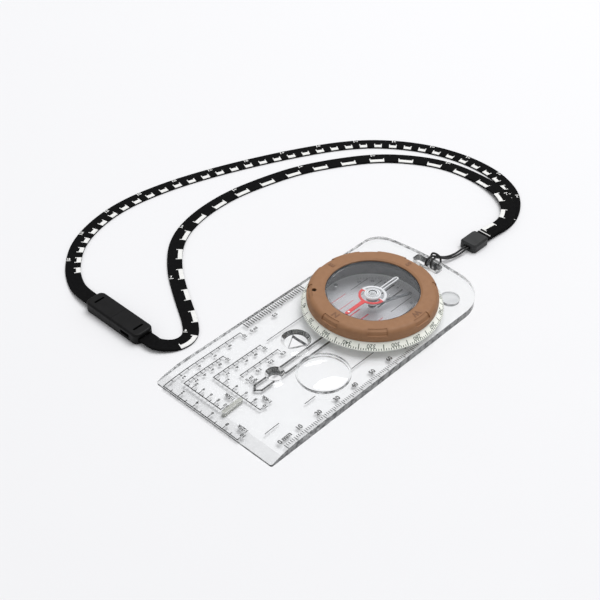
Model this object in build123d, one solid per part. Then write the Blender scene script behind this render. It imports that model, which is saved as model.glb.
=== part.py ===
from build123d import *
import math
import os

# A baseplate compass: a clear rule plate that carries a turning dial, a capsule with a needle
# and a clinometer, a magnifier, and a flat measuring lanyard on a thin loop of cord.
# +Y is the direction of travel, +Z is up, and the three feet stand on z = 0.  Millimetres.

# baseplate
PLATE_WIDTH = 61.0
PLATE_LENGTH = 129.8
PLATE_THICK = 3.2
STAND_OFF = 1.3
PLATE_TOP = STAND_OFF + PLATE_THICK
FRONT_Y = PLATE_LENGTH / 2
REAR_Y = -PLATE_LENGTH / 2
REAR_ROUND_R = 150.0
REAR_CORNERS = {-1: 18.0, 1: 9.0}
FRONT_CORNER_R = 0.8
BEVEL_LENGTH = 13.9
FRONT_LIP = 0.9
BOND_GAP = 0.03

# dial and its bore in the plate
DIAL_Y = -24.0
BORE_R = 24.5
BORE_RECESS_R = 26.0
LEDGE_Z = STAND_OFF + 1.1
RUN_GAP = 0.06
FACE_GAP = 0.15
BODY_GAP = 0.3
SLEEVE_R = BORE_R - RUN_GAP
DIAL_SKIRT_R = 28.85
DIAL_SHOULDER_R = 26.5
DIAL_BASE_Z = PLATE_TOP + FACE_GAP
DIAL_TOP_Z = 7.2
RETAINER_SEAT_R = 24.0
RETAINER_R = 25.7
SLEEVE_FOOT_Z = 1.5

# grip bezel
BEZEL_TOP_Z = 12.4
BEZEL_WINDOW_R = 19.2
BEZEL_CAVITY_R = 23.4
BEZEL_LIP_Z = 11.5
GRIP_COUNT = 8
GRIP_ARC = 17.5
GRIP_FLOOR_Z = 10.3

# capsule
CAPSULE_R = 23.1
CAPSULE_FLOOR_Z = 3.1
CAPSULE_UNDER_Z = 2.05
CAPSULE_INNER_R = 21.3
CAPSULE_WALL_Z = 8.0
LID_R = 21.5
LID_INNER_R = 20.6
LID_FLANGE_Z = 11.2
WINDOW_R = BEZEL_WINDOW_R - BODY_GAP
WINDOW_TOP_Z = 11.5
WINDOW_THICK = 0.6

# declination drive: a pinion on the screw turns the toothed ring on the capsule
GEAR_MODULE = 0.3
GEAR_TEETH = 150
PINION_TEETH = 7
GEAR_PITCH_R = GEAR_MODULE * GEAR_TEETH / 2
PINION_PITCH_R = GEAR_MODULE * PINION_TEETH / 2
SCREW_REACH = GEAR_PITCH_R + PINION_PITCH_R
SCREW_BEARING = 45.0
SCREW_HOLE_R = 1.0
GEAR_TOP_Z = 9.6

# needle and clinometer
PIVOT_R = 0.6
PIVOT_TIP_Z = 9.5
NEEDLE_Z = 8.7
NEEDLE_THICK = 0.3
NEEDLE_REACH = 16.2
NEEDLE_TAIL = 15.8
RING_OUTER_R = 5.75
RING_INNER_R = 4.75
HUB_R = 3.5
HUB_FOOT_Z = 5.2
POINTER_Z = 3.7
POINTER_THICK = 0.4
POINTER_REACH = 18.2
POINTER_BEARING = 202.0

# openings in the plate
LENS_X, LENS_Y = -13.2, 19.4
LENS_R = 9.85
LENS_RIM_R = 10.65
TRIANGLE_X, TRIANGLE_Y = 7.4, 12.9
TRIANGLE_DISH_R = 6.05
TRIANGLE_R = 4.6
CIRCLE_X, CIRCLE_Y = -0.2, 32.3
CIRCLE_DISH_R = 3.9
CIRCLE_R = 2.6
STENCIL_DISH = 1.5
SLOT_LENGTH = 13.4
SLOT_WIDTH = 4.6
SLOT_X, SLOT_Y = 0.9, -60.8

# feet
FOOT_SEAT = 0.5
REAR_FOOT_R = 4.0
REAR_FOOT_X, REAR_FOOT_Y = 19.5, -50.2
FRONT_FOOT_X, FRONT_FOOT_Y = 0.4, 54.0
FRONT_FOOT_LENGTH = 9.8
FRONT_FOOT_WIDTH = 1.9

# lanyard
CORD_D = 0.9
STRAP_WIDTH = 6.5
STRAP_THICK = 1.0
CLAMP_X, CLAMP_Y = -2.6, -89.2
CLAMP_WIDTH, CLAMP_LENGTH, CLAMP_HEIGHT = 8.4, 10.4, 3.8
MOUTH_DEPTH = 2.0
MOUTH_GAP = 0.2
BUCKLE_Y = 50.8
BUCKLE_SEAM_X = 69.6
BUCKLE_LENGTH = 32.6
BUCKLE_WIDTH = 9.4
BUCKLE_HEIGHT = 4.8
BUCKLE_CORNER_R = 2.6
SEAM_GAP = 0.1
TONGUE_LENGTH, TONGUE_WIDTH, TONGUE_THICK = 9.0, 5.0, 2.0

# the thin cord: one strand out of the clamp, hitched round the bar behind the slot, and back
HITCH_X = 0.9
LOOP_HALF = [
    (-1.9, -85.0, 1.9),
    (-1.9, -81.6, 1.9),
    (-1.4, -77.0, 1.1),
    (-0.2, -71.8, 1.7),
    (HITCH_X + 0.6, -67.4, 3.8),
    (HITCH_X + 0.85, -64.4, 5.6),
    (HITCH_X + 1.15, -61.3, 4.8),
    (HITCH_X + 1.6, -61.5, 0.95),
    (HITCH_X + 2.2, -63.7, 0.5),
    (HITCH_X + 2.8, -66.1, 0.75),
    (HITCH_X + 2.7, -66.7, 3.4),
    (HITCH_X + 1.9, -66.7, 5.7),
]
STRAND_GAP = 1.4

# the two straps, from the clamp to the buckle's plug and to its socket
STRAP_OUTER_ROUTE = [
    (-2.6, -92.4, 1.05),
    (-2.6, -98.8, 1.05),
    (-4.0, -112.0, 0.5),
    (1.2, -125.0, 0.5),
    (10.8, -135.2, 0.5),
    (27.5, -141.3, 0.5),
    (50.0, -140.0, 0.5),
    (71.0, -131.0, 0.5),
    (89.5, -115.0, 0.5),
    (105.0, -88.5, 0.5),
    (120.0, -54.0, 0.5),
    (129.2, -24.0, 0.5),
    (132.0, 3.0, 0.5),
    (125.0, 27.8, 0.5),
    (111.8, 42.3, 0.5),
    (100.2, 48.9, 0.5),
    (91.0, 50.8, 2.1),
    (83.9, 50.8, 2.1),
]
STRAP_INNER_ROUTE = [
    (-2.6, -92.4, 2.1),
    (-2.6, -98.8, 2.1),
    (-4.0, -110.4, 1.75),
    (1.4, -121.1, 1.7),
    (11.8, -128.5, 1.8),
    (27.5, -132.2, 0.5),
    (45.5, -130.6, 0.5),
    (61.0, -122.8, 0.5),
    (74.0, -111.6, 0.5),
    (84.5, -96.0, 0.5),
    (93.3, -79.0, 0.5),
    (98.6, -60.0, 0.5),
    (102.0, -40.0, 0.5),
    (100.5, -18.8, 0.5),
    (93.7, -1.1, 0.5),
    (79.3, 13.0, 0.5),
    (62.7, 23.4, 0.5),
    (47.2, 32.1, 0.5),
    (41.4, 37.8, 0.5),
    (41.8, 44.9, 0.5),
    (46.8, 50.5, 1.6),
    (50.4, 50.8, 2.1),
    (55.3, 50.8, 2.1),
]


def at(x, y, z=0.0):
    return Location((x, y, z))


def dial_place():
    return at(0, DIAL_Y)


def disc(radius, low, high):
    """A round of the given radius between two heights, on the Z axis."""
    return extrude(Plane.XY.offset(low) * Circle(radius), high - low)


def ring(outer, inner, low, high):
    return disc(outer, low, high) - disc(inner, low - 1, high + 1)


def turned(points):
    """Revolves a closed outline of (radius, height) points about Z."""
    outline = Polyline(*[(r, 0, z) for r, z in points], close=True)
    return revolve(make_face(outline), Axis.Z)


def polar(radius, bearing):
    """A point at a compass bearing from the dial's centre: 0 along +Y, clockwise from above."""
    angle = math.radians(bearing)
    return radius * math.sin(angle), radius * math.cos(angle)


# ---------------------------------------------------------------- baseplate

def front_bevel():
    """The stock taken off the front: a convex round, tangent to the top, that leaves a thin lip."""
    drop = PLATE_THICK - FRONT_LIP
    bevel_r = (BEVEL_LENGTH ** 2 + drop ** 2) / (2 * drop)
    start_y = FRONT_Y - BEVEL_LENGTH
    stock = Pos(0, start_y + BEVEL_LENGTH, PLATE_TOP) * Box(
        2 * PLATE_WIDTH, 2 * BEVEL_LENGTH, 2 * drop + 1)
    return stock - Pos(0, start_y, PLATE_TOP - bevel_r) * Rot(0, 90, 0) * Cylinder(
        bevel_r, 3 * PLATE_WIDTH)


def plate_blank():
    """The rear end bows out a little, and its two corners are rounded by different amounts."""
    half = PLATE_WIDTH / 2
    sag = REAR_ROUND_R - math.sqrt(REAR_ROUND_R ** 2 - half ** 2)
    sides = Polyline((-half, REAR_Y + sag), (-half, FRONT_Y), (half, FRONT_Y), (half, REAR_Y + sag))
    end = ThreePointArc((half, REAR_Y + sag), (0, REAR_Y), (-half, REAR_Y + sag))
    sketch = make_face(sides + end)
    for side, radius in REAR_CORNERS.items():
        corner = sketch.vertices().sort_by_distance((side * half, REAR_Y + sag))[0]
        sketch = fillet(corner, radius)
    front = sketch.vertices().group_by(Axis.Y)[-1]
    sketch = fillet(front, FRONT_CORNER_R)
    blank = extrude(Plane.XY.offset(STAND_OFF) * sketch, PLATE_THICK)
    return blank - front_bevel()


def triangle_hole():
    dish_floor = PLATE_TOP - STENCIL_DISH
    dish = turned([(0, dish_floor), (TRIANGLE_R, dish_floor),
                   (TRIANGLE_DISH_R, PLATE_TOP + 0.01), (0, PLATE_TOP + 0.01)])
    corners = [polar(TRIANGLE_R, bearing) for bearing in (0, 120, 240)]
    prism = extrude(Plane.XY * make_face(Polyline(*corners, close=True)), PLATE_TOP + 1)
    return at(TRIANGLE_X, TRIANGLE_Y) * (dish + prism)


def circle_hole():
    cone = turned([(0, STAND_OFF - 1), (CIRCLE_R, STAND_OFF - 1), (CIRCLE_R, PLATE_TOP - STENCIL_DISH),
                   (CIRCLE_DISH_R, PLATE_TOP), (CIRCLE_DISH_R, PLATE_TOP + 1), (0, PLATE_TOP + 1)])
    return at(CIRCLE_X, CIRCLE_Y) * cone


def lanyard_slot():
    outline = RectangleRounded(SLOT_LENGTH, SLOT_WIDTH, 1.2)
    return at(SLOT_X, SLOT_Y) * extrude(outline, PLATE_TOP + 1)


def pill_outline():
    return SlotOverall(FRONT_FOOT_LENGTH, FRONT_FOOT_WIDTH, rotation=90)


def foot_seats():
    """The feet's seats, larger all round by the thickness of the glue."""
    top = STAND_OFF + FOOT_SEAT + BOND_GAP
    seats = at(FRONT_FOOT_X, FRONT_FOOT_Y) * extrude(offset(pill_outline(), BOND_GAP), top)
    for side in (-1, 1):
        seats += at(side * REAR_FOOT_X, REAR_FOOT_Y) * disc(REAR_FOOT_R + BOND_GAP, 0, top)
    return seats


def lens_seat():
    step_z = PLATE_TOP - 1.2 - BOND_GAP
    seat = disc(LENS_R + BOND_GAP, 0, PLATE_TOP + 1)
    return at(LENS_X, LENS_Y) * (seat + disc(LENS_RIM_R + BOND_GAP, step_z, PLATE_TOP + 1))


def baseplate():
    bore = disc(BORE_R, 0, PLATE_TOP + 1) + disc(BORE_RECESS_R, 0, LEDGE_Z)
    body = plate_blank() - dial_place() * bore
    body -= lens_seat()
    body -= triangle_hole()
    body -= circle_hole()
    body -= lanyard_slot()
    return body - foot_seats()


def magnifier_lens():
    """A stepped disc, bonded into its seat, with a shallow dome on top."""
    rim_z = PLATE_TOP + 0.5
    dome_rise = 0.9
    dome_edge_r = LENS_RIM_R - 0.9
    dome_r = (dome_edge_r ** 2 + dome_rise ** 2) / (2 * dome_rise)
    body = disc(LENS_R, STAND_OFF + 0.2, rim_z) + disc(LENS_RIM_R, PLATE_TOP - 1.2, rim_z)
    ball = at(0, 0, rim_z + dome_rise - dome_r) * Sphere(dome_r)
    dome = ball & disc(dome_edge_r, rim_z, rim_z + 2 * dome_rise)
    return at(LENS_X, LENS_Y) * (body + dome)


def rear_foot(side):
    pad = disc(REAR_FOOT_R, 0, STAND_OFF + FOOT_SEAT)
    rim = pad.edges().group_by(Axis.Z)[0]
    return at(side * REAR_FOOT_X, REAR_FOOT_Y) * fillet(rim, 0.35)


def front_foot():
    pad = extrude(pill_outline(), STAND_OFF + FOOT_SEAT)
    rim = pad.edges().group_by(Axis.Z)[0]
    return at(FRONT_FOOT_X, FRONT_FOOT_Y) * fillet(rim, 0.35)


# ---------------------------------------------------------------- dial

def dial_ring():
    return dial_place() * turned([
        (RETAINER_SEAT_R - 1.6, SLEEVE_FOOT_Z), (RETAINER_SEAT_R, SLEEVE_FOOT_Z),
        (RETAINER_SEAT_R, LEDGE_Z - 0.2), (SLEEVE_R, LEDGE_Z - 0.2), (SLEEVE_R, DIAL_BASE_Z),
        (DIAL_SKIRT_R, DIAL_BASE_Z), (DIAL_SKIRT_R, DIAL_BASE_Z + 0.4),
        (DIAL_SHOULDER_R, DIAL_TOP_Z), (CAPSULE_R + 0.1, DIAL_TOP_Z),
        (CAPSULE_R + 0.1, SLEEVE_FOOT_Z + 0.5), (RETAINER_SEAT_R - 1.6, SLEEVE_FOOT_Z + 0.5)])


def retaining_ring():
    split = extrude(Rectangle(1.2, 4), 10)
    closed = ring(RETAINER_R, RETAINER_SEAT_R, SLEEVE_FOOT_Z, LEDGE_Z - 0.2)
    return dial_place() * (closed - at(0, -RETAINER_R) * split)


def grip_recess(bearing):
    depth = make_face(Polyline(
        (26.1, 0, GRIP_FLOOR_Z), (28.0, 0, GRIP_FLOOR_Z), (28.0, 0, 13.5), (24.4, 0, 13.5),
        (24.4, 0, 12.15), (25.5, 0, 11.6), close=True))
    start = 90 - bearing - GRIP_ARC / 2
    return Rot(0, 0, start) * revolve(depth, Axis.Z, revolution_arc=GRIP_ARC)


def grip_bezel():
    side = Wire([
        Edge.make_line((BEZEL_CAVITY_R, 0, DIAL_TOP_Z), (26.3, 0, DIAL_TOP_Z)),
        Edge.make_line((26.3, 0, DIAL_TOP_Z), (26.7, 0, 7.7)),
        Edge.make_three_point_arc((26.7, 0, 7.7), (26.75, 0, 9.2), (26.5, 0, 10.4)),
        Edge.make_three_point_arc((26.5, 0, 10.4), (25.85, 0, 11.75), (24.5, 0, BEZEL_TOP_Z)),
        Edge.make_line((24.5, 0, BEZEL_TOP_Z), (20.0, 0, BEZEL_TOP_Z)),
        Edge.make_line((20.0, 0, BEZEL_TOP_Z), (BEZEL_WINDOW_R, 0, BEZEL_TOP_Z - 0.35)),
        Edge.make_line((BEZEL_WINDOW_R, 0, BEZEL_TOP_Z - 0.35), (BEZEL_WINDOW_R, 0, BEZEL_LIP_Z)),
        Edge.make_line((BEZEL_WINDOW_R, 0, BEZEL_LIP_Z), (BEZEL_CAVITY_R, 0, BEZEL_LIP_Z)),
        Edge.make_line((BEZEL_CAVITY_R, 0, BEZEL_LIP_Z), (BEZEL_CAVITY_R, 0, DIAL_TOP_Z)),
    ])
    body = revolve(Face(side), Axis.Z)
    for number in range(GRIP_COUNT):
        body -= grip_recess(number * 360 / GRIP_COUNT)
    x, y = polar(SCREW_REACH, SCREW_BEARING)
    body -= at(x, y) * disc(SCREW_HOLE_R, DIAL_TOP_Z + 1, BEZEL_TOP_Z + 1)
    body -= at(x, y) * disc(1.6, DIAL_TOP_Z, GEAR_TOP_Z + 0.3)
    return dial_place() * body


# ---------------------------------------------------------------- capsule

def capsule_base():
    cup = turned([
        (0, CAPSULE_UNDER_Z), (CAPSULE_R, CAPSULE_UNDER_Z), (CAPSULE_R, CAPSULE_WALL_Z),
        (CAPSULE_INNER_R, CAPSULE_WALL_Z), (CAPSULE_INNER_R, CAPSULE_FLOOR_Z),
        (0, CAPSULE_FLOOR_Z)])
    boss = turned([(0, CAPSULE_FLOOR_Z), (1.6, CAPSULE_FLOOR_Z), (1.2, CAPSULE_FLOOR_Z + 0.5),
                   (0, CAPSULE_FLOOR_Z + 0.5)])
    x, y = polar(19.8, 90)
    cup = cup + boss - disc(PIVOT_R + BOND_GAP, CAPSULE_UNDER_Z + 0.5 - BOND_GAP, CAPSULE_FLOOR_Z + 1)
    cup -= at(x, y) * disc(0.8 + BOND_GAP, 0, CAPSULE_FLOOR_Z + 1)
    return dial_place() * cup


def capsule_lid():
    step_r = WINDOW_R - 0.8
    under_z = WINDOW_TOP_Z - WINDOW_THICK
    foot_z = CAPSULE_WALL_Z + BOND_GAP
    return dial_place() * turned([
        (0, under_z), (step_r, under_z), (step_r, 10.4), (LID_INNER_R, 10.4),
        (LID_INNER_R, foot_z), (LID_R, foot_z), (LID_R, LID_FLANGE_Z),
        (WINDOW_R, LID_FLANGE_Z), (WINDOW_R, WINDOW_TOP_Z - 0.25), (WINDOW_R - 0.25, WINDOW_TOP_Z),
        (0, WINDOW_TOP_Z)])


def fill_plug():
    x, y = polar(19.8, 90)
    return dial_place() * at(x, y) * disc(0.8, CAPSULE_UNDER_Z, CAPSULE_FLOOR_Z)


def tooth_outline(pitch_r, teeth, root, tip, root_width, tip_width):
    """Straight-flanked teeth as one closed outline: root and tip are depths about the pitch line."""
    points = []
    for number in range(teeth):
        centre = 2 * math.pi * number / teeth
        for radius, offset in ((pitch_r - root, -root_width), (pitch_r + tip, -tip_width),
                               (pitch_r + tip, tip_width), (pitch_r - root, root_width)):
            angle = centre + offset / 2 / pitch_r
            points.append((radius * math.cos(angle), radius * math.sin(angle)))
    return make_face(Polyline(*points, close=True))


def declination_gear():
    """Its outline is turned so that a gap between teeth faces the screw."""
    teeth = tooth_outline(GEAR_PITCH_R, GEAR_TEETH, 0.34, 0.2, 0.5, 0.2)
    towards_screw = 90 - SCREW_BEARING
    half_pitch = 180 / GEAR_TEETH
    foot_z = CAPSULE_WALL_Z + BOND_GAP
    blank = extrude(Plane.XY.offset(foot_z) * teeth, GEAR_TOP_Z - foot_z)
    blank -= disc(LID_R + BOND_GAP, CAPSULE_WALL_Z - 1, GEAR_TOP_Z + 1)
    return dial_place() * Rot(0, 0, towards_screw + half_pitch) * blank


def declination_screw():
    """Slotted head, shank and pinion in one piece, with a tooth facing the toothed ring."""
    x, y = polar(SCREW_REACH, SCREW_BEARING)
    teeth = tooth_outline(PINION_PITCH_R, PINION_TEETH, 0.38, 0.22, 0.42, 0.16)
    towards_centre = 270 - SCREW_BEARING
    pinion = Rot(0, 0, towards_centre) * extrude(
        Plane.XY.offset(CAPSULE_WALL_Z + 0.2) * teeth, GEAR_TOP_Z - CAPSULE_WALL_Z - 0.3)
    shank = disc(SCREW_HOLE_R - RUN_GAP, GEAR_TOP_Z + 0.5, 11.7)
    shank += disc(0.6, GEAR_TOP_Z - 0.6, GEAR_TOP_Z + 1)
    slot = at(0, 0, 11.2) * extrude(Rectangle(0.4, 4), 1)
    return dial_place() * at(x, y) * (pinion + shank - slot)


def pivot_pin():
    """Pressed into the capsule's boss: a collar keeps the clinometer down, and the point is free."""
    shaft_top = PIVOT_TIP_Z - 1.2
    collar_z = POINTER_Z + POINTER_THICK + 0.1
    return dial_place() * turned([
        (0, CAPSULE_UNDER_Z + 0.5), (PIVOT_R, CAPSULE_UNDER_Z + 0.5), (PIVOT_R, collar_z),
        (1.0, collar_z), (1.0, collar_z + 0.4), (PIVOT_R, collar_z + 0.4), (PIVOT_R, shaft_top),
        (0.08, PIVOT_TIP_Z), (0, PIVOT_TIP_Z)])


# ---------------------------------------------------------------- needle and clinometer

def needle_blade():
    """One stamped sheet: a ring round the hub, a solid north arm and an open south arm."""
    ring_face = Circle(RING_OUTER_R) - Circle(RING_INNER_R)
    spokes = Rectangle(2 * RING_INNER_R + 0.4, 1.0) - Circle(HUB_R - 0.8)
    arm = Polyline((-1.1, RING_INNER_R + 0.3), (1.1, RING_INNER_R + 0.3), (0.8, 8.0),
                   (0.8, NEEDLE_REACH - 0.8), (-0.8, NEEDLE_REACH - 0.8), (-0.8, 8.0), close=True)
    north = make_face(arm) + Pos(0, NEEDLE_REACH - 0.8) * Circle(0.8)
    tail_length = NEEDLE_TAIL - RING_INNER_R - 0.3
    tail_y = -(NEEDLE_TAIL - tail_length / 2)
    south = Pos(0, tail_y) * SlotOverall(tail_length, 1.9, rotation=90)
    south -= Pos(0, tail_y) * SlotOverall(tail_length - 1.0, 0.9, rotation=90)
    south -= Circle(RING_INNER_R)
    sheet = ring_face + spokes + north + south
    return dial_place() * extrude(Plane.XY.offset(NEEDLE_Z) * sheet, NEEDLE_THICK)


def needle_hub():
    """A moulded cap with raised rings round the bearing, and a long skirt round the pin."""
    top = NEEDLE_Z + NEEDLE_THICK
    return dial_place() * turned([
        (0.75, HUB_FOOT_Z), (HUB_R - 1.1, HUB_FOOT_Z), (HUB_R - 0.8, top), (HUB_R, top),
        (HUB_R, top + 0.5), (HUB_R - 0.3, top + 0.8), (2.2, top + 0.8), (2.1, top + 1.2),
        (1.5, top + 1.2), (1.3, top + 0.9), (1.0, top + 0.9), (1.0, top + 0.3), (0.75, top + 0.1)])


def jewel_bearing():
    """A cupped stone: the pin's point stands in the cone on its underside."""
    top = NEEDLE_Z + NEEDLE_THICK
    return dial_place() * turned([
        (0.6, top + 0.3), (1.0, top + 0.3), (1.0, top + 1.1), (0.7, top + 1.5), (0, top + 1.7),
        (0, PIVOT_TIP_Z + BODY_GAP / 3)])


def clinometer_pointer():
    """A pendulum that hangs true when the compass stands on its edge."""
    tip = POINTER_REACH
    eye = Circle(1.7) - Circle(PIVOT_R + RUN_GAP)
    legs = make_face(Polyline((-1.2, 0.9), (-0.5, tip), (0.5, tip), (1.2, 0.9), close=True))
    window = make_face(Polyline((-0.55, 3.0), (-0.12, tip - 4), (0.12, tip - 4), (0.55, 3.0),
                                close=True))
    sheet = eye + (legs - Circle(1.5)) - window
    blank = extrude(Plane.XY.offset(POINTER_Z) * sheet, POINTER_THICK)
    return dial_place() * Rot(0, 0, -POINTER_BEARING) * blank


# ---------------------------------------------------------------- lanyard

def corner_radii(points):
    """The largest arc that two runs allow: 0.45 of the shorter over the tangent of half the turn."""
    radii = []
    for before, corner, after in zip(points, points[1:], points[2:]):
        first = Vector(corner) - Vector(before)
        second = Vector(after) - Vector(corner)
        half_turn = math.radians(first.get_angle(second)) / 2
        radii.append(0.45 * min(first.length, second.length) / math.tan(half_turn))
    return radii


def soft_path(name, points, section_area):
    radii = corner_radii(points)
    path = FilletPolyline(*points, radius=radii)
    print(name, "length", round(path.length, 1), "volume due", round(path.length * section_area, 1),
          "radii", [round(r, 1) for r in radii])
    return path


def loop_route():
    """The hitch is the same on both sides of its middle, and the two strands end side by side."""
    hitch = [(2 * HITCH_X - x, y, z) for x, y, z in reversed(LOOP_HALF[4:])]
    strand = [(x - STRAND_GAP, y, z) for x, y, z in reversed(LOOP_HALF[:4])]
    return LOOP_HALF + hitch + strand


def loop_cord():
    path = soft_path("loop_cord", loop_route(), math.pi * CORD_D ** 2 / 4)
    start = Plane(origin=path @ 0, z_dir=path % 0)
    return sweep(start * Circle(CORD_D / 2), path)


def strap(name, points):
    """A flat strap that lies level: the path's own copy above it holds the section upright."""
    path = soft_path(name, points, STRAP_WIDTH * STRAP_THICK)
    across = (path % 0).cross(Vector(0, 0, 1))
    start = Plane(origin=path @ 0, x_dir=across, z_dir=path % 0)
    guide = path.moved(Pos(0, 0, 10)).wire()
    return sweep(start * Rectangle(STRAP_WIDTH, STRAP_THICK), path, binormal=guide)


def strap_mouth(depth, low, high):
    """The pocket that a strap's end stands in, centred on its opening."""
    width = STRAP_WIDTH + 2 * MOUTH_GAP
    return at(0, 0, low) * extrude(Rectangle(width, 2 * depth), high - low)


def strap_clamp():
    """A block closed on both straps at one end and on the thin cord's two ends at the other."""
    block = extrude(RectangleRounded(CLAMP_WIDTH, CLAMP_LENGTH, 1.6), CLAMP_HEIGHT)
    block = chamfer(block.edges().group_by(Axis.Z)[-1], 0.7)
    block = chamfer(block.edges().group_by(Axis.Z)[0], 0.3)
    block -= at(0, CLAMP_LENGTH / 2, 1.2) * extrude(Rectangle(3.6, 2.0), 1.4)
    block -= at(0, -CLAMP_LENGTH / 2) * strap_mouth(MOUTH_DEPTH, 0.35, 2.8)
    return at(CLAMP_X, CLAMP_Y) * block


def buckle_shell(length):
    """A shell from the seam outward along +X, with the strap's mouth in its outer end."""
    outline = Pos(length / 2, 0) * Rectangle(length, BUCKLE_WIDTH)
    outline = fillet(outline.vertices().group_by(Axis.X)[-1], BUCKLE_CORNER_R)
    shell = extrude(outline, BUCKLE_HEIGHT)
    for level, size in ((-1, 1.0), (0, 0.5)):
        rim = [e for e in shell.edges().group_by(Axis.Z)[level] if e.center().X > 0.01]
        shell = fillet(rim, size)
    shell -= at(length - 4.2, 0, BUCKLE_HEIGHT - 1.2) * extrude(Rectangle(1.0, 4.8), 3)
    mouth = Rot(0, 0, 90) * strap_mouth(MOUTH_DEPTH, 1.0, 3.2)
    return shell - at(length, 0) * mouth


def tongue(length, width, thick):
    """A bar from the seam towards -X, at the shell's mid height."""
    low = (BUCKLE_HEIGHT - thick) / 2
    return at(-length / 2, 0, low) * extrude(Rectangle(length, width), thick)


def buckle_plug():
    """The half with the tongue: its side shows in the socket's window."""
    length = BUCKLE_LENGTH / 2 - SEAM_GAP
    root = at(SEAM_GAP + 2, 0) * tongue(4, TONGUE_WIDTH, TONGUE_THICK)
    stem = at(SEAM_GAP, 0) * tongue(TONGUE_LENGTH, TONGUE_WIDTH, TONGUE_THICK)
    shell = at(SEAM_GAP, 0) * buckle_shell(length)
    return at(BUCKLE_SEAM_X, BUCKLE_Y) * (shell + stem + root)


def buckle_socket():
    shell = Rot(0, 0, 180) * buckle_shell(BUCKLE_LENGTH / 2)
    cavity = tongue(TONGUE_LENGTH + 1, TONGUE_WIDTH + 2 * BODY_GAP, TONGUE_THICK + 2 * BODY_GAP)
    window = at(-9.0, BUCKLE_WIDTH / 2, BUCKLE_HEIGHT / 2 - 0.9) * extrude(Rectangle(5.2, 4.2), 1.8)
    return at(BUCKLE_SEAM_X, BUCKLE_Y) * (shell - cavity - window)


PARTS = {
    "baseplate": baseplate,
    "magnifier_lens": magnifier_lens,
    "front_foot": front_foot,
    "rear_foot_left": lambda: rear_foot(-1),
    "rear_foot_right": lambda: rear_foot(1),
    "dial_ring": dial_ring,
    "retaining_ring": retaining_ring,
    "grip_bezel": grip_bezel,
    "declination_screw": declination_screw,
    "capsule_base": capsule_base,
    "capsule_lid": capsule_lid,
    "declination_gear": declination_gear,
    "fill_plug": fill_plug,
    "pivot_pin": pivot_pin,
    "needle_blade": needle_blade,
    "needle_hub": needle_hub,
    "jewel_bearing": jewel_bearing,
    "clinometer_pointer": clinometer_pointer,
    "loop_cord": loop_cord,
    "strap_clamp": strap_clamp,
    "strap_outer": lambda: strap("strap_outer", STRAP_OUTER_ROUTE),
    "strap_inner": lambda: strap("strap_inner", STRAP_INNER_ROUTE),
    "buckle_plug": buckle_plug,
    "buckle_socket": buckle_socket,
}

os.makedirs("parts", exist_ok=True)
for node, build in PARTS.items():
    export_step(build(), f"parts/{node}.step")
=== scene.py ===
import bisect
import math

import bpy
import bmesh
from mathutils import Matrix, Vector


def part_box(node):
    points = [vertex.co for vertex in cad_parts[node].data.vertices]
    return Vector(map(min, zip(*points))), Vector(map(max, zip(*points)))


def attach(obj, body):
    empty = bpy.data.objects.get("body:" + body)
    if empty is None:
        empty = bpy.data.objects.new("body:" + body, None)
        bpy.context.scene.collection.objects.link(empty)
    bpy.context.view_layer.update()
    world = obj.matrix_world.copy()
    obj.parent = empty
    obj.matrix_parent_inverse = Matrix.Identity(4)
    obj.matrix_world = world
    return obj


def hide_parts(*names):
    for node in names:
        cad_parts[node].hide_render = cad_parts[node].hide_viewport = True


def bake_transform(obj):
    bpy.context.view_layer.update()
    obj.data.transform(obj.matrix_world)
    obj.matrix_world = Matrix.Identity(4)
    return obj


# A clear baseplate compass with a brown dial, on a flat black measuring lanyard.
# Row frame: +Y is the direction of travel, +Z is up, the feet stand on z = 0.

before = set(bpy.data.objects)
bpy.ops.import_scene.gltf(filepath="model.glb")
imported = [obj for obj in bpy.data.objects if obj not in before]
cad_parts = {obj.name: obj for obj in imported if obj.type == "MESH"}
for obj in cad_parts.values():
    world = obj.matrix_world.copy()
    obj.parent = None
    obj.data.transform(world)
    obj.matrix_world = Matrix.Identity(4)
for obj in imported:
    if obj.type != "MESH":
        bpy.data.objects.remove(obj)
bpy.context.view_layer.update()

MM = 0.001
UP = Vector((0, 0, 1))


# ---------------------------------------------------------------- places taken from the frame

def box_mm(node):
    """A CAD node's lowest and highest corners, in millimetres."""
    low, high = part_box(node)
    return low / MM, high / MM


def centre_mm(node):
    low, high = box_mm(node)
    return (low + high) / 2


PLATE_LOW = box_mm("baseplate")[0]
DIAL = centre_mm("dial_ring")
DIAL_LOW, DIAL_HIGH = box_mm("dial_ring")
BEZEL_TOP_Z = box_mm("grip_bezel")[1].z
FLOOR_Z = box_mm("fill_plug")[1].z
SKIRT_R = (DIAL_HIGH.x - DIAL_LOW.x) / 2
SHOULDER_R = SKIRT_R - 2.35
SKIRT_Z = DIAL_HIGH.z - 2.15
# Within this radius of the dial's centre, the dial's bore and the bezel's hollow are painted grey as
# painted shade.
CAVITY_R = 23.5
INK_Z = PLATE_LOW.z - 0.015
INK_LIFT = 0.02


# ---------------------------------------------------------------- camera and cords

def add_camera():
    data = bpy.data.cameras.new("camera")
    data.lens = 69.4
    data.sensor_width = 36.0
    camera = bpy.data.objects.new("camera", data)
    camera.location = (-0.22652, 0.25629, 0.30532)
    view = Vector((0.53013, -0.55681, -0.63947))
    camera.rotation_euler = view.to_track_quat("-Z", "Y").to_euler()
    bpy.context.scene.collection.objects.link(camera)
    bpy.context.scene.camera = camera


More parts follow.
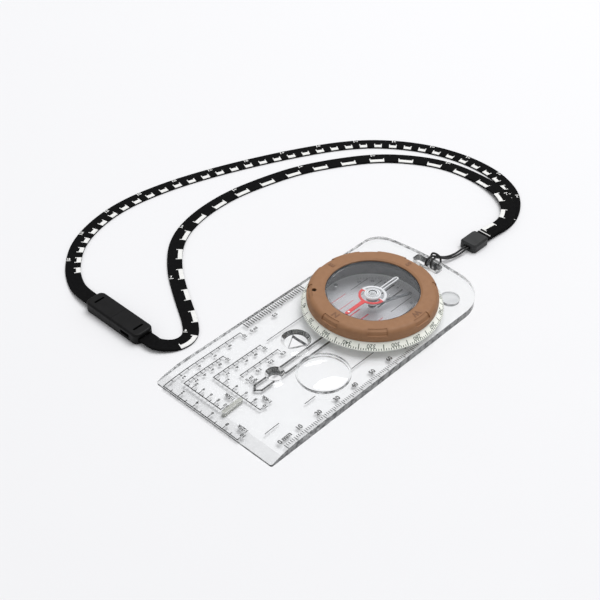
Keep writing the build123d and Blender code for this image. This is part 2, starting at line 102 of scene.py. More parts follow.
CORD_D = 0.9
HITCH_X = 0.9
STRAND_GAP = 1.4
LOOP_HALF = [
    (-1.9, -85.0, 1.9),
    (-1.9, -81.6, 1.9),
    (-1.4, -77.0, 1.1),
    (-0.2, -71.8, 1.7),
    (HITCH_X + 0.6, -67.4, 3.8),
    (HITCH_X + 0.85, -64.4, 5.6),
    (HITCH_X + 1.15, -61.3, 4.8),
    (HITCH_X + 1.6, -61.5, 0.95),
    (HITCH_X + 2.2, -63.7, 0.5),
    (HITCH_X + 2.8, -66.1, 0.75),
    (HITCH_X + 2.7, -66.7, 3.4),
    (HITCH_X + 1.9, -66.7, 5.7),
]
LOOP_ROUTE = (
    LOOP_HALF
    + [(2 * HITCH_X - x, y, z) for x, y, z in reversed(LOOP_HALF[4:])]
    + [(x - STRAND_GAP, y, z) for x, y, z in reversed(LOOP_HALF[:4])]
)

STRAP_WIDTH = 6.5
STRAP_THICK = 1.0
STRAP_OUTER_ROUTE = [
    (-2.6, -92.4, 1.05),
    (-2.6, -98.8, 1.05),
    (-4.0, -112.0, 0.5),
    (1.2, -125.0, 0.5),
    (10.8, -135.2, 0.5),
    (27.5, -141.3, 0.5),
    (50.0, -140.0, 0.5),
    (71.0, -131.0, 0.5),
    (89.5, -115.0, 0.5),
    (105.0, -88.5, 0.5),
    (120.0, -54.0, 0.5),
    (129.2, -24.0, 0.5),
    (132.0, 3.0, 0.5),
    (125.0, 27.8, 0.5),
    (111.8, 42.3, 0.5),
    (100.2, 48.9, 0.5),
    (91.0, 50.8, 2.1),
    (83.9, 50.8, 2.1),
]
STRAP_INNER_ROUTE = [
    (-2.6, -92.4, 2.1),
    (-2.6, -98.8, 2.1),
    (-4.0, -110.4, 1.75),
    (1.4, -121.1, 1.7),
    (11.8, -128.5, 1.8),
    (27.5, -132.2, 0.5),
    (45.5, -130.6, 0.5),
    (61.0, -122.8, 0.5),
    (74.0, -111.6, 0.5),
    (84.5, -96.0, 0.5),
    (93.3, -79.0, 0.5),
    (98.6, -60.0, 0.5),
    (102.0, -40.0, 0.5),
    (100.5, -18.8, 0.5),
    (93.7, -1.1, 0.5),
    (79.3, 13.0, 0.5),
    (62.7, 23.4, 0.5),
    (47.2, 32.1, 0.5),
    (41.4, 37.8, 0.5),
    (41.8, 44.9, 0.5),
    (46.8, 50.5, 1.6),
    (50.4, 50.8, 2.1),
    (55.3, 50.8, 2.1),
]


def route_curve(name, points):
    """A smooth open NURBS curve with these control points."""
    data = bpy.data.curves.new(name, "CURVE")
    data.dimensions = "3D"
    data.resolution_u = 16
    spline = data.splines.new("NURBS")
    spline.points.add(len(points) - 1)
    for point, place in zip(spline.points, points):
        point.co = (*[value * MM for value in place], 1)
    spline.order_u = 3
    spline.use_endpoint_u = True
    curve = bpy.data.objects.new(name, data)
    bpy.context.scene.collection.objects.link(curve)
    return curve


class Route:
    """The line of an unbevelled curve, in millimetres, with the length along it."""

    def __init__(self, curve):
        mesh = bpy.data.meshes.new_from_object(curve)
        self.points = [vertex.co / MM for vertex in mesh.vertices]
        bpy.data.meshes.remove(mesh)
        self.lengths = [0.0]
        for before, after in zip(self.points, self.points[1:]):
            self.lengths.append(self.lengths[-1] + (after - before).length)
        self.length = self.lengths[-1]

    def point(self, along):
        index = bisect.bisect_right(self.lengths, along) - 1
        index = min(max(index, 0), len(self.points) - 2)
        span = self.lengths[index + 1] - self.lengths[index]
        share = (along - self.lengths[index]) / span
        return self.points[index].lerp(self.points[index + 1], share)

    def level_with(self, place):
        """The length along the line at which it passes nearest to a place."""
        gaps = [(point - Vector(place)).length for point in self.points]
        return self.lengths[gaps.index(min(gaps))]

    def axes(self, along):
        """Travel, left and up for a strap that lies level."""
        reach = 0.8
        travel = (self.point(along + reach) - self.point(along - reach)).normalized()
        left = UP.cross(travel).normalized()
        return travel, left, travel.cross(left)

    def on_top(self, along, across, lift):
        left, up = self.axes(along)[1:]
        return self.point(along) + left * across + up * (STRAP_THICK / 2 + lift)


# ---------------------------------------------------------------- drawing on surfaces

def letters(text, bold):
    """Flat text as points and faces, one unit tall, centred, reading along +u."""
    curve = bpy.data.curves.new("letters", "FONT")
    curve.body = text
    curve.resolution_u = 3
    curve.offset = bold
    holder = bpy.data.objects.new("letters", curve)
    mesh = bpy.data.meshes.new_from_object(holder)
    xs = [vertex.co.x for vertex in mesh.vertices]
    ys = [vertex.co.y for vertex in mesh.vertices]
    tall = max(ys) - min(ys)
    middle = Vector((max(xs) + min(xs), max(ys) + min(ys), 0)) / 2
    points = [(vertex.co - middle) / tall for vertex in mesh.vertices]
    faces = [list(polygon.vertices) for polygon in mesh.polygons]
    bpy.data.meshes.remove(mesh)
    bpy.data.objects.remove(holder)
    bpy.data.curves.remove(curve)
    return points, faces


class Ink:
    """Collects flat marks in one mesh. A place function turns (u, v) in mm into a point in mm."""

    def __init__(self):
        self.mesh = bmesh.new()

    def polygon(self, corners, place, material=0):
        face = self.mesh.faces.new([self.mesh.verts.new(place(u, v) * MM) for u, v in corners])
        face.material_index = material

    def bar(self, low, high, place, material=0):
        (u0, v0), (u1, v1) = low, high
        self.polygon([(u0, v0), (u1, v0), (u1, v1), (u0, v1)], place, material)

    def line(self, start, end, width, place, material=0):
        """A straight stroke with square ends that reach half its width past each point."""
        a, b = Vector(start), Vector(end)
        run = (b - a).normalized() * width / 2
        side = Vector((-run.y, run.x))
        corners = [a - run - side, b + run - side, b + run + side, a - run + side]
        self.polygon([tuple(corner) for corner in corners], place, material)

    def text(self, text, height, place, material=0, bold=0.04):
        points, faces = letters(text, bold)
        verts = [self.mesh.verts.new(place(p.x * height, p.y * height) * MM) for p in points]
        for face in faces:
            added = self.mesh.faces.new([verts[index] for index in face])
            added.material_index = material

    def piece(self, name, materials, body=None, slot=None):
        data = bpy.data.meshes.new(name)
        self.mesh.to_mesh(data)
        self.mesh.free()
        for material in materials:
            data.materials.append(material)
        piece = bpy.data.objects.new(name, data)
        bpy.context.scene.collection.objects.link(piece)
        if body:
            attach(piece, body)
        return piece


def flat(x, y, z, right=(1, 0)):
    """A level place function: u runs along right, and v to the left of it."""
    along = Vector((*right, 0))
    across = UP.cross(along)
    origin = Vector((x, y, z))
    return lambda u, v: origin + along * u + across * v


def polar(radius, bearing):
    """A point at a compass bearing from the dial's centre: 0 along +Y, clockwise from above."""
    angle = math.radians(bearing)
    return Vector((DIAL.x + radius * math.sin(angle), DIAL.y + radius * math.cos(angle)))


def radial(radius, bearing, z, inward=False):
    """A level place function on a circle about the dial, with v pointing outward or inward."""
    angle = math.radians(bearing)
    way = -1 if inward else 1
    x, y = polar(radius, bearing)
    return flat(x, y, z, (way * math.cos(angle), -way * math.sin(angle)))


def on_scale(bearing):
    """The dial's sloping scale: u runs clockwise, and v outward from the scale's middle."""
    slope = Vector((SKIRT_R - SHOULDER_R, SKIRT_Z - DIAL_HIGH.z))
    outward = slope.normalized()
    normal = Vector((-outward.y, outward.x))
    middle = Vector((SHOULDER_R, DIAL_HIGH.z)) + slope / 2

    def place(u, v):
        radius, z = middle + outward * v + normal * INK_LIFT
        x, y = polar(radius, bearing + math.degrees(u / middle.x))
        return Vector((x, y, z))

    return place


# ---------------------------------------------------------------- materials

def rgb(red, green, blue):
    """An sRGB colour in 0 to 255 as linear values."""
    shares = [value / 255 for value in (red, green, blue)]
    return [s / 12.92 if s <= 0.04045 else ((s + 0.055) / 1.055) ** 2.4 for s in shares] + [1]


class Finish:
    """A Principled material whose colour, roughness and relief come from procedural noise."""

    def __init__(self, name, **constants):
        self.material = bpy.data.materials.new(name)
        self.material.use_nodes = True
        self.tree = self.material.node_tree
        self.shader = self.tree.nodes["Principled BSDF"]
        self.coordinates = self.tree.nodes.new("ShaderNodeTexCoord").outputs["Object"]
        for socket, value in constants.items():
            self.shader.inputs[socket.replace("_", " ")].default_value = value

    def link(self, output, node, socket):
        self.tree.links.new(output, node.inputs[socket])

    def noise(self, grain, detail=3.0):
        """Noise with features of this size in millimetres."""
        node = self.tree.nodes.new("ShaderNodeTexNoise")
        node.inputs["Scale"].default_value = 1 / (grain * MM)
        node.inputs["Detail"].default_value = detail
        self.link(self.coordinates, node, "Vector")
        return node.outputs["Fac"]

    def spread(self, factor, low, high, source=(0.3, 0.7)):
        node = self.tree.nodes.new("ShaderNodeMapRange")
        self.link(factor, node, "Value")
        for socket, value in zip(("From Min", "From Max", "To Min", "To Max"), (*source, low, high)):
            node.inputs[socket].default_value = value
        return node.outputs["Result"]

    def mix(self, factor, low, high):
        """Colours or sockets, mixed by a factor."""
        node = self.tree.nodes.new("ShaderNodeMix")
        node.data_type = "RGBA"
        self.link(factor, node, "Factor")
        for index, value in ((6, low), (7, high)):
            if isinstance(value, list):
                node.inputs[index].default_value = value
            else:
                self.tree.links.new(value, node.inputs[index])
        return node.outputs[2]

    def colour(self, output):
        self.link(output, self.shader, "Base Color")
        return self

    def mottled(self, dark, light, grain):
        return self.mix(self.spread(self.noise(grain), 0, 1), rgb(*dark), rgb(*light))

    def rough(self, low, high, grain):
        self.link(self.spread(self.noise(grain), low, high), self.shader, "Roughness")
        return self

    def relief(self, height, depth):
        """A bump from a height output, this many millimetres deep."""
        node = self.tree.nodes.new("ShaderNodeBump")
        node.inputs["Distance"].default_value = depth * MM
        self.link(height, node, "Height")
        self.link(node.outputs["Normal"], self.shader, "Normal")
        return self

    def near(self, centre, radius):
        """1 within this radius of the upright line through a point."""
        offset = self.tree.nodes.new("ShaderNodeVectorMath")
        offset.operation = "SUBTRACT"
        self.link(self.coordinates, offset, 0)
        offset.inputs[1].default_value = Vector(centre) * MM
        scale = self.tree.nodes.new("ShaderNodeVectorMath")
        scale.operation = "MULTIPLY"
        self.link(offset.outputs[0], scale, 0)
        scale.inputs[1].default_value = (1, 1, 0)
        length = self.tree.nodes.new("ShaderNodeVectorMath")
        length.operation = "LENGTH"
        self.link(scale.outputs[0], length, 0)
        return self.math("LESS_THAN", length.outputs["Value"], radius * MM)

    def pass_light(self):
        """Daylight reaches what lies under clear plastic, as it does through the real sheet."""
        paths = self.tree.nodes.new("ShaderNodeLightPath")
        unseen = self.math("MAXIMUM", paths.outputs["Is Shadow Ray"], paths.outputs["Is Diffuse Ray"])
        open_air = self.tree.nodes.new("ShaderNodeBsdfTransparent")
        mixed = self.tree.nodes.new("ShaderNodeMixShader")
        self.link(unseen, mixed, 0)
        self.link(self.shader.outputs["BSDF"], mixed, 1)
        self.link(open_air.outputs["BSDF"], mixed, 2)
        self.link(mixed.outputs["Shader"], self.tree.nodes["Material Output"], "Surface")
        return self

    def math(self, operation, *terms):
        """A Math node on sockets and plain numbers."""
        node = self.tree.nodes.new("ShaderNodeMath")
        node.operation = operation
        for index, term in enumerate(terms):
            if isinstance(term, (int, float)):
                node.inputs[index].default_value = term
            else:
                self.link(term, node, index)
        return node.outputs[0]

    def axis(self, name):
        node = self.tree.nodes.new("ShaderNodeSeparateXYZ")
        self.link(self.coordinates, node, "Vector")
        return node.outputs[name]


def moulded(name, dark, light, rough=(0.38, 0.5), grain=3.0, relief=0.004, **constants):
    """Moulded plastic: a faint mottle, and a fine spark-eroded texture."""
    finish = Finish(name, **constants)
    finish.colour(finish.mottled(dark, light, grain))
    finish.rough(*rough, grain / 2)
    return finish.relief(finish.noise(0.25), relief)


# A face that leans by more than about 12 degrees counts as a slope; clear plastic is painted greyer
# there, as painted shade.
SLOPE_COSINE = 0.978


def clear(name, tint, rough=(0.0, 0.03), edge=0.9, edge_shade_grey=(66, 68, 70)):
    """Polished clear plastic. Slopes are painted a little grey, as painted shade, and upright cut edges
    are streaked with painted grey shade, least on those that face +X, the side the light comes from."""
    finish = Finish(name, IOR=1.49)
    normal = finish.tree.nodes.new("ShaderNodeSeparateXYZ")
    finish.link(finish.coordinates.node.outputs["Normal"], normal, "Vector")
    tilt = finish.math("ABSOLUTE", normal.outputs["Z"])
    upright = finish.math("LESS_THAN", tilt, 0.3)
    # Painted shade: faces toward +X, the lit side, get a quarter of the edge shade.
    lit_side = finish.math("MAXIMUM", normal.outputs["X"], 0.0)
    edge_shade_share = finish.math("MULTIPLY_ADD", lit_side, -0.75, 1.0)
    shade_streaks = finish.spread(finish.noise(2.2, 4.0), 0.55, 1.0, (0.4, 0.6))
    painted_edge_shade = finish.math("MULTIPLY", finish.math("MULTIPLY", upright, shade_streaks), edge_shade_share)
    # Painted shade: sloping faces take a greyer tint.
    sloping = finish.math("LESS_THAN", tilt, SLOPE_COSINE)
    slope_shade_grey = [channel * 0.78 for channel in rgb(*tint)[:3]] + [1]
    body = finish.mix(sloping, rgb(*tint), slope_shade_grey)
    finish.colour(finish.mix(painted_edge_shade, body, rgb(*edge_shade_grey)))
    # The painted edge shade also lets less light through there.
    finish.link(finish.spread(painted_edge_shade, 1.0, 1.0 - edge, (0, 1)), finish.shader, "Transmission Weight")
    finish.rough(*rough, 6.0)
    return finish.relief(finish.noise(9.0, 1.0), 0.004).pass_light()


def metal(name, dark, light, rough):
    finish = Finish(name, Metallic=1.0)
    finish.colour(finish.mottled(dark, light, 1.5))
    finish.rough(*rough, 0.8)
    return finish.relief(finish.noise(0.2), 0.002)


def dial_finish():
    """Ivory outside, with painted shade: grey on the bore that the capsule hides."""
    finish = Finish("ivory_plastic")
    ivory = finish.mottled((248, 251, 240), (253, 254, 247), 4.0)
    shaded_inside = finish.near(DIAL, CAVITY_R)
    # Painted shade: the bore within the capsule's reach is grey.
    finish.colour(finish.mix(shaded_inside, ivory, rgb(128, 132, 135)))
    finish.rough(0.42, 0.55, 2.0)
    return finish.relief(finish.noise(0.3), 0.003).material


def bezel_finish():
    """Brown rubbery plastic, with painted shade: dark grey in the hollow round the capsule."""
    finish = Finish("brown_plastic", Specular_IOR_Level=0.3)
    brown = finish.mottled((147, 107, 76), (154, 113, 81), 2.5)
    shaded_inside = finish.near(DIAL, CAVITY_R)
    below_lip = finish.math("LESS_THAN", finish.axis("Z"), (BEZEL_TOP_Z - 0.85) * MM)
    hollow_shade = finish.math("MULTIPLY", shaded_inside, below_lip)
    # Painted shade: the hollow below the lip is painted dark grey.
    finish.colour(finish.mix(hollow_shade, brown, rgb(112, 117, 120)))
    finish.rough(0.48, 0.62, 1.5)
    return finish.relief(finish.noise(0.35), 0.012).material


def needle_finish():
    """Red north half, white south half, and a luminous white dot near the north tip."""
    finish = Finish("needle_paint")
    north = finish.math("GREATER_THAN", finish.axis("Y"), DIAL.y * MM)
    paint = finish.mix(north, rgb(240, 241, 242), rgb(226, 46, 46))
    dot = finish.near(DIAL + Vector((0, 14.4, 0)), 0.5)
    finish.colour(finish.mix(dot, paint, rgb(245, 245, 245)))
    finish.rough(0.3, 0.42, 1.0)
    return finish.relief(finish.noise(0.3), 0.002).material


def hub_finish():
    """White plastic, with painted shade in two rings: a dark one round the bearing and a fine grey one
    near the rim.
    """
    finish = Finish("white_plastic")
    colour = finish.mottled((240, 242, 244), (252, 252, 253), 1.5)
    # Painted shade: each ring is a grey band that stands in for the shade in a moulded ring.
    for outer, inner, grey in ((2.75, 2.55, 150), (1.7, 1.35, 70)):
        ring_shade = finish.math("SUBTRACT", finish.near(DIAL, outer), finish.near(DIAL, inner))
        colour = finish.mix(ring_shade, colour, rgb(grey, grey, grey + 3))
    finish.colour(colour)
    finish.rough(0.16, 0.26, 1.0)
    return finish.relief(finish.noise(0.3), 0.002).material


def weave(finish, across, along):
    """A checker of yarn tops over the strap's own (across, along) map, in millimetres."""
    coordinates = finish.tree.nodes.new("ShaderNodeUVMap")
    coordinates.uv_map = "strap"
    mapping = finish.tree.nodes.new("ShaderNodeMapping")
    mapping.inputs["Scale"].default_value = (1 / across, 1 / along, 1)
    finish.link(coordinates.outputs["UV"], mapping, "Vector")
    yarns = finish.tree.nodes.new("ShaderNodeTexChecker")
    yarns.inputs["Scale"].default_value = 1.0
    finish.link(mapping.outputs["Vector"], yarns, "Vector")
    return yarns.outputs["Fac"]


def strap_finish(name, dark, light):
    finish = Finish(name, Specular_IOR_Level=0.06)
    yarns = weave(finish, 0.42, 0.28)
    fibres = finish.mottled(dark, light, 0.9)
    finish.colour(finish.mix(finish.spread(yarns, 0, 0.35, (0, 1)), fibres, rgb(*dark)))
    finish.rough(0.62, 0.8, 1.2)
    return finish.relief(yarns, 0.03).material


def cord_finish():
    """A thin braided cord: bands wind round it, from a wave along its length."""
    finish = Finish("black_cord")
    braid = finish.tree.nodes.new("ShaderNodeTexWave")
    braid.bands_direction = "DIAGONAL"
    braid.inputs["Scale"].default_value = 1.2 / MM
    braid.inputs["Distortion"].default_value = 1.0
    finish.link(finish.coordinates, braid, "Vector")
    finish.colour(finish.mix(braid.outputs["Fac"], rgb(14, 14, 15), rgb(34, 34, 35)))
    finish.rough(0.5, 0.7, 0.8)
    return finish.relief(braid.outputs["Fac"], 0.05).material


BLACK_INK = moulded("black_ink", (8, 8, 9), (16, 16, 17), (0.45, 0.6), relief=0.002).material
GREEN_INK = moulded("dial_ink", (54, 68, 57), (72, 86, 74), (0.45, 0.6), relief=0.002).material
RED_INK = moulded("red_ink", (196, 40, 66), (214, 58, 80), (0.45, 0.6), relief=0.002).material
GREY_INK = moulded("grey_ink", (88, 90, 94), (108, 110, 114), (0.45, 0.6), relief=0.002).material
# Painted shade: the raised bezel letters are a darker brown than the bezel.
SHADED_MARK_BROWN = moulded("bezel_mark", (118, 80, 52), (128, 88, 58), (0.5, 0.6)).material
STRAP_BLACK = strap_finish("strap_black", (8, 8, 9), (15, 15, 16))
STRAP_WHITE = strap_finish("strap_white", (232, 232, 230), (250, 250, 248))


def paint(material, *nodes):
    for node in nodes:
        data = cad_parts[node].data
        data.materials.clear()
        data.materials.append(material)


def paint_cad_nodes():
    # The clear plastics carry clear()'s painted shade on slopes and upright edges.
    paint(clear("clear_acrylic", (254, 255, 255)).material, "baseplate")
    paint(clear("lens_acrylic", (254, 255, 255), (0.0, 0.01)).material, "magnifier_lens")
    # Painted shade: the capsule's plastic is tinted grey, and its upright edges take a lighter painted
    # grey, for the shade inside the capsule.
    paint(clear("capsule_acrylic", (238, 239, 241), edge=0.2, edge_shade_grey=(150, 152, 155)).material,
          "capsule_base", "capsule_lid")
    paint(clear("foot_rubber", (220, 222, 223), (0.25, 0.4), 0.4).material,
          "rear_foot_left", "rear_foot_right")
    paint(moulded("grip_rubber", (184, 185, 178), (204, 205, 198), (0.3, 0.45), relief=0.01,
                  Transmission_Weight=0.35).material, "front_foot")
    paint(dial_finish(), "dial_ring", "retaining_ring")
    paint(bezel_finish(), "grip_bezel")
    # Painted shade: the brass screw is coloured dark for the recess it sits in.
    paint(metal("screw_brass", (52, 44, 34), (74, 64, 50), (0.3, 0.42)).material,
          "declination_screw")
    paint(moulded("grey_plastic", (96, 100, 104), (112, 116, 120)).material,
          "declination_gear", "fill_plug")
    paint(metal("pin_steel", (170, 172, 176), (196, 198, 202), (0.18, 0.3)).material, "pivot_pin")
    paint(needle_finish(), "needle_blade")
    paint(hub_finish(), "needle_hub")
    paint(moulded("jewel", (240, 242, 246), (252, 252, 253), (0.05, 0.12), relief=0.001,
                  Transmission_Weight=0.3).material, "jewel_bearing")
    paint(metal("pointer_metal", (112, 115, 118), (136, 139, 142), (0.3, 0.45)).material,
          "clinometer_pointer")
    paint(moulded("clamp_plastic", (38, 39, 40), (46, 47, 48), (0.42, 0.52),
                  relief=0.015, Specular_IOR_Level=0.3).material, "strap_clamp")
    paint(moulded("buckle_plastic", (14, 14, 15), (20, 20, 21), (0.4, 0.5),
                  relief=0.015, Specular_IOR_Level=0.14).material, "buckle_plug", "buckle_socket")


# ---------------------------------------------------------------- the lanyard

BLOCK_EDGE = 1.35
TICK_EDGE = 0.45
STRAP_EDGE = STRAP_WIDTH / 2
EDGE_ROUND = 0.2
TICK = 0.42
PROFILE = [
    (-STRAP_EDGE + EDGE_ROUND, -STRAP_THICK / 2),
    (-STRAP_EDGE, -STRAP_THICK / 2 + EDGE_ROUND),
    (-STRAP_EDGE, STRAP_THICK / 2 - EDGE_ROUND),
    (-STRAP_EDGE + EDGE_ROUND, STRAP_THICK / 2),
    (TICK_EDGE, STRAP_THICK / 2),
    (BLOCK_EDGE, STRAP_THICK / 2),
    (STRAP_EDGE - EDGE_ROUND, STRAP_THICK / 2),
    (STRAP_EDGE, STRAP_THICK / 2 - EDGE_ROUND),
    (STRAP_EDGE, -STRAP_THICK / 2 + EDGE_ROUND),
    (STRAP_EDGE - EDGE_ROUND, -STRAP_THICK / 2),
]
TICK_COLUMN = 4
BLOCK_COLUMNS = (5, 6)
CROSS_LINE_Y = -97.2


def blocks_of(route, period, last):
    """White blocks, half a period long, from the cross line to the last one's end."""
    start = route.level_with((-2.6, CROSS_LINE_Y, 1.5))
    ends = [last - period * number for number in range(int((last - start) / period) + 1)]
    return start, [(max(end - period / 2, start), end) for end in reversed(ends)]


def strap_stations(route, cuts):
    """Lengths along the strap for its rows of points: even steps, and every cut."""
    step = 1.4
    even = [step * number for number in range(1, int(route.length / step))]
    clear_of_cuts = [s for s in even if all(abs(s - cut) > step / 3 for cut in cuts)]
    return sorted([0.0, route.length] + clear_of_cuts + [c for c in cuts if 0 < c < route.length])


def strap(name, node, points, period, last_place):
    """A flat strap with a printed scale along its left edge, and numbers along its right edge."""
    curve = route_curve(name + "_route", points)
    route = Route(curve)
    bpy.data.objects.remove(curve)
    last = route.level_with(last_place)
    start, blocks = blocks_of(route, period, last)
    ticks = [(a, a + TICK) for a, _ in blocks] + [(b - TICK, b) for _, b in blocks]
    cross_line = (start - TICK, start)
    cuts = sorted({round(s, 3) for span in blocks + ticks + [cross_line] for s in span})
    stations = strap_stations(route, cuts)

    ink = Ink()
    uv = ink.mesh.loops.layers.uv.new("strap")
    rows = []
    for along in stations:
        left, up = route.axes(along)[1:]
        middle = route.point(along)
        rows.append([ink.mesh.verts.new((middle + left * a + up * b) * MM) for a, b in PROFILE])
    ink.mesh.faces.new(reversed(rows[0]))
    ink.mesh.faces.new(rows[-1])
    for index in range(len(rows) - 1):
        middle = (stations[index] + stations[index + 1]) / 2
        in_block = any(a < middle < b for a, b in blocks)
        in_tick = any(a < middle < b for a, b in ticks)
        in_line = cross_line[0] < middle < cross_line[1]
        for column in range(len(PROFILE)):
            after = (column + 1) % len(PROFILE)
            face = ink.mesh.faces.new([rows[index][column], rows[index][after],
                                       rows[index + 1][after], rows[index + 1][column]])
            white = in_block and column in BLOCK_COLUMNS or in_tick and column == TICK_COLUMN
            face.material_index = int(white or in_line and 3 <= column <= 6)
            spots = [(column, index), (column + 1, index),
                     (column + 1, index + 1), (column, index + 1)]
            for loop, (across, row) in zip(face.loops, spots):
                loop[uv].uv = (across * STRAP_WIDTH / 6, stations[row])
    number_strap(ink, route, start, last, period * 2.5)
    piece = ink.piece(name, [STRAP_BLACK, STRAP_WHITE])
    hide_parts(node)
    path = [point * MM for point in route.points]
    return piece, route.length * MM, path


def number_strap(ink, route, start, last, step):
    """A short tick on the right edge at every step, with its number beside it."""
    for number in range(1, int((last - start) / step) + 1):
        along = start + number * step
        ink.bar((along - 0.17, -STRAP_EDGE + EDGE_ROUND), (along + 0.17, -1.3),
                lambda u, v: route.on_top(u, v, INK_LIFT), 1)
        ink.text(str(number), 1.25,
                 lambda u, v: route.on_top(along - 1.2 - v, u - 2.1, INK_LIFT), 1)


def add_lanyard():
    cord = route_curve("thin_cord", LOOP_ROUTE)
    cord_length = Route(cord).length * MM
    cord.data.bevel_depth = CORD_D * MM / 2
    cord.data.bevel_resolution = 3
    cord.data.use_fill_caps = True
    cord.data.materials.append(cord_finish())
    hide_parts("loop_cord")
    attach(cord, "plate")

    outer, length, path = strap("strap_outer_band", "strap_outer", STRAP_OUTER_ROUTE, 7.41,
                                (107.9, 45.1, 0.5))
    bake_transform(outer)

    inner, length, path = strap("strap_inner_band", "strap_inner", STRAP_INNER_ROUTE, 14.3,
                                (41.6, 44.2, 0.5))
    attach(inner, "plate")


# ---------------------------------------------------------------- prints on the plate

THIN = 0.45
FINE = 0.34
ARROW = 0.85


def scale_arm(ink, corner, step, inward, length, shift):
    """Ten divisions from a corner: step and inward are unit steps in the plate's plane."""
    corner, step, inward = Vector(corner), Vector(step), Vector(inward)
    place = flat(0, 0, INK_Z)
    ink.line(corner, corner + step * length, THIN, place)
    for number in range(1, 11):
        foot = corner + step * (length * number / 10)
        tall = 1.5 if number % 2 == 0 else 0.9
        ink.line(foot, foot + inward * tall, FINE, place)
        if number % 2 == 0:
            x, y = foot + inward * shift
            ink.text(str(number), 1.6, flat(x, y, INK_Z))


def romer(ink, corner, length, name, name_place):
    """Two arms of a map scale that meet at a corner, with the scale's ratio at one end."""
    scale_arm(ink, corner, (-1, 0), (0, -1), length, 2.6)
    scale_arm(ink, corner, (0, -1), (-1, 0), length, 2.6)
    ink.text(name, 1.7, flat(*name_place, INK_Z))


def millimetre_rule(ink):
    zero_y, inner_x = 54.86, -27.24
    place = flat(0, 0, INK_Z)
    for number in range(75):
        y = zero_y - number
        reach = 2.4 if number % 10 == 0 else 1.8 if number % 5 == 0 else 0.9
        ink.line((inner_x, y), (inner_x - reach, y), FINE, place)
        if number % 10 == 0:
            ink.text(str(number), 2.1, flat(inner_x + 2.3, y, INK_Z, (0, -1)))
    ink.text("mm", 1.5, flat(inner_x + 2.2, zero_y - 3.4, INK_Z, (0, -1)))


def mile_rules(ink):
    place = flat(0, 0, INK_Z)
    corner_x, corner_y, reach = 9.82, 40.82, 20.12
    ink.line((corner_x, corner_y), (corner_x, corner_y - reach), THIN, place)
    for number in range(7):
        y = corner_y - reach * number / 6
        ink.line((corner_x, y), (corner_x - (1.6 if number % 2 == 0 else 0.9), y), FINE, place)
    for number in range(1, 4):
        y = corner_y - reach * number / 3
        ink.text(f"0.{number}", 1.6, flat(corner_x - 3.0, y, INK_Z, (0, -1)))
    ink.text("0 mi", 1.5, flat(corner_x - 3.6, corner_y - 1.2, INK_Z, (0, -1)))
    ink.text("1:24k", 1.4, flat(corner_x - 5.8, corner_y - 1.4, INK_Z, (0, -1)))
    edge_x, start_y, step = 27.5, 19.4, 1.27
    for number in range(27):
        y = start_y - number * step
        foot_x = edge_x if number % 5 == 0 else edge_x + 0.5
        ink.line((foot_x, y), (30.0, y), 0.56, place)
    ink.text("0 mi", 1.6, flat(edge_x - 2.4, start_y - 0.7, INK_Z, (0, -1)))
    ink.text("0.5", 1.6, flat(edge_x - 2.3, start_y - 10 * step, INK_Z, (0, -1)))


def travel_lines(ink):
    """The arrow's two lines, its head, and a thin line to each side of it."""
    place = flat(0, 0, INK_Z)
    lens, lens_r = centre_mm("magnifier_lens"), 11.3
    dial_edge = SKIRT_R - 1.5
    circle, circle_r = Vector((-0.2, 32.3)), 2.9

    def stop(x, centre, radius):
        """How far a round reaches along Y at this x, or nothing where it is clear."""
        across = abs(x - centre.x)
        return math.sqrt(radius ** 2 - across ** 2) if across < radius else 0.0

    shoulder_y, tip = 40.9, (0.15, 42.8)
    for x in (2.07, -1.77):
        foot_y = DIAL.y + stop(x, DIAL, dial_edge)
        half = stop(x, circle, circle_r)
        ink.line((x, shoulder_y), (x, circle.y + half), ARROW, place)
        low_y = foot_y
        if abs(x - lens.x) < lens_r:
            low_y = lens.y + stop(x, lens, lens_r)
            ink.line((x, lens.y - stop(x, lens, lens_r)), (x, foot_y), ARROW, place)
        ink.line((x, circle.y - half), (x, low_y), ARROW, place)
        ink.line((x, shoulder_y), tip, ARROW, place)
    x = -18.3
    ink.line((x, 55.6), (x, 48.8), FINE, place)
    ink.line((x, 34.9), (x, lens.y + stop(x, lens, lens_r)), FINE, place)
    ink.line((x, lens.y - stop(x, lens, lens_r)), (x, DIAL.y + stop(x, DIAL, dial_edge)), FINE, place)
    x = 16.4
    ink.line((x, 19.9), (x, DIAL.y + stop(x, DIAL, dial_edge)), FINE, place)


def add_plate_prints():
    ink = Ink()
    romer(ink, (16.5, 48.6), 25, "1:40k", (-6.3, 43.1))
    romer(ink, (22.4, 58.0), 20, "1:50k", (4.7, 51.6))
    romer(ink, (27.4, 64.0), 40, "1:25k", (-10.2, 59.2))
    millimetre_rule(ink)
    mile_rules(ink)
    travel_lines(ink)
    ink.piece("plate_print", [BLACK_INK], "plate", "clear_acrylic")


# ---------------------------------------------------------------- prints on the dial and in the capsule

def add_dial_print():
    ink = Ink()
    for number in range(180):
        bearing = number * 2
        tens = bearing % 10 == 0
        low = 0.95 if bearing % 20 == 0 else -0.7 if tens else 0.8
        wide = 0.34 if tens else 0.28
        ink.bar((-wide / 2, low), (wide / 2, 1.57), on_scale(bearing))
    for bearing in range(20, 361, 20):
        ink.text(str(bearing), 1.75, on_scale(bearing), bold=0.01)
    ink.piece("dial_print", [GREEN_INK], "dial", "ivory_plastic")


def add_bezel_marks():
    """Raised cardinal letters, painted a darker brown than the bezel, as painted shade."""
    ink = Ink()
    for letter, bearing in (("N", 0), ("E", 90), ("S", 180), ("W", 270)):
        place = radial(22.3, bearing, BEZEL_TOP_Z + 0.01)
        ink.text(letter, 2.7, place)
    raised = bmesh.ops.extrude_face_region(ink.mesh, geom=ink.mesh.faces[:])
    tops = [part for part in raised["geom"] if isinstance(part, bmesh.types.BMVert)]
    bmesh.ops.translate(ink.mesh, verts=tops, vec=(0, 0, 0.1 * MM))
    ink.piece("bezel_marks", [SHADED_MARK_BROWN], "dial", "brown_plastic")


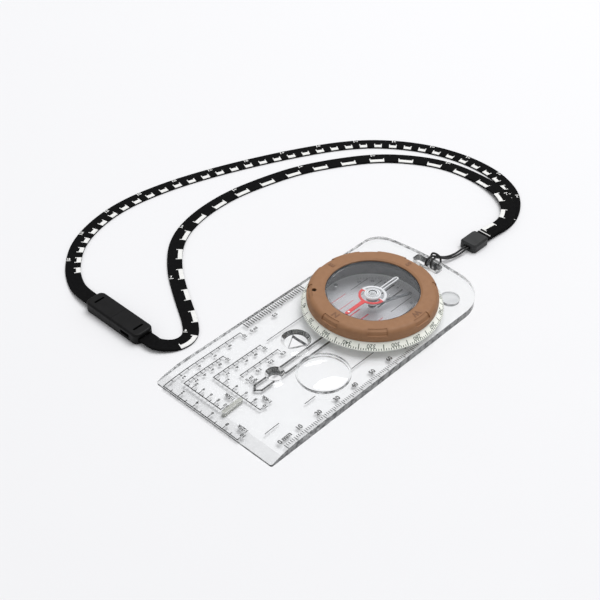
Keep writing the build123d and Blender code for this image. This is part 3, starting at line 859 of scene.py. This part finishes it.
def add_capsule_prints():
    """North lines on the capsule's floor, and the declination scale at its south edge."""
    place = flat(DIAL.x, DIAL.y, FLOOR_Z + INK_LIFT)
    north, south = Ink(), Ink()
    for x, wide, north_start, south_start, end in (
            (2.25, 0.62, 5.2, 1.2, 16.4), (7.9, 0.28, 2.6, 2.6, 15.4), (13.0, 0.28, 1.8, 1.8, 12.2)):
        for side in (-x, x):
            north.line((side, north_start), (side, end), wide, place)
            south.line((side, -south_start), (side, -end), wide, place, 1)
    for degrees in range(-60, 61, 4):
        long = degrees % 20 == 0
        spot = radial(18.6, 180 + degrees, FLOOR_Z + INK_LIFT, inward=True)
        south.bar((-0.09, 0.0), (0.09, 1.3 if long else 0.8), spot)
        if long:
            label = radial(16.2, 180 + degrees, FLOOR_Z + INK_LIFT, inward=True)
            south.text(str(abs(degrees)), 1.3, label)
    north.piece("capsule_print_north", [RED_INK], "capsule", "clear_acrylic")
    south.piece("capsule_print_south", [GREY_INK, BLACK_INK], "capsule", "clear_acrylic")


# ---------------------------------------------------------------- floor and light

def add_floor():
    half = 3.0
    data = bpy.data.meshes.new("floor")
    data.from_pydata([(-half, -half, 0), (half, -half, 0), (half, half, 0), (-half, half, 0)],
                     [], [(0, 1, 2, 3)])
    finish = Finish("floor_white", Base_Color=rgb(235, 235, 237))
    finish.rough(0.75, 0.85, 30.0)
    data.materials.append(finish.material)
    floor = bpy.data.objects.new("floor", data)
    bpy.context.scene.collection.objects.link(floor)


def add_world():
    """A white dome that falls off to grey at the horizon, so clear edges have something to show."""
    world = bpy.data.worlds.new("studio")
    world.use_nodes = True
    tree = world.node_tree
    direction = tree.nodes.new("ShaderNodeTexCoord")
    split = tree.nodes.new("ShaderNodeSeparateXYZ")
    ramp = tree.nodes.new("ShaderNodeValToRGB")
    tree.links.new(direction.outputs["Generated"], split.inputs["Vector"])
    tree.links.new(split.outputs["Z"], ramp.inputs["Fac"])
    steps = ramp.color_ramp.elements
    steps[0].position, steps[0].color = 0.02, (0.34, 0.345, 0.35, 1)
    steps[1].position, steps[1].color = 0.6, (1.0, 1.0, 1.0, 1)
    middle = steps.new(0.3)
    middle.color = (0.62, 0.63, 0.64, 1)
    background = tree.nodes["Background"]
    tree.links.new(ramp.outputs["Color"], background.inputs["Color"])
    background.inputs["Strength"].default_value = 0.62
    bpy.context.scene.world = world


def add_light(name, place, size, power):
    data = bpy.data.lights.new(name, "AREA")
    data.shape = "DISK"
    data.size = size
    data.energy = power
    light = bpy.data.objects.new(name, data)
    light.location = place
    light.rotation_euler = (-Vector(place)).to_track_quat("-Z", "Y").to_euler()
    bpy.context.scene.collection.objects.link(light)


def set_light():
    scene = bpy.context.scene
    scene.view_settings.view_transform = "Standard"
    scene.cycles.glossy_bounces = 24
    scene.cycles.transmission_bounces = 32
    scene.cycles.max_bounces = 40
    add_world()
    add_light("key_light", (0.1, -0.8, 2.0), 1.7, 32.0)


add_camera()
add_lanyard()
paint_cad_nodes()
add_plate_prints()
add_dial_print()
add_bezel_marks()
add_capsule_prints()
add_floor()
set_light()
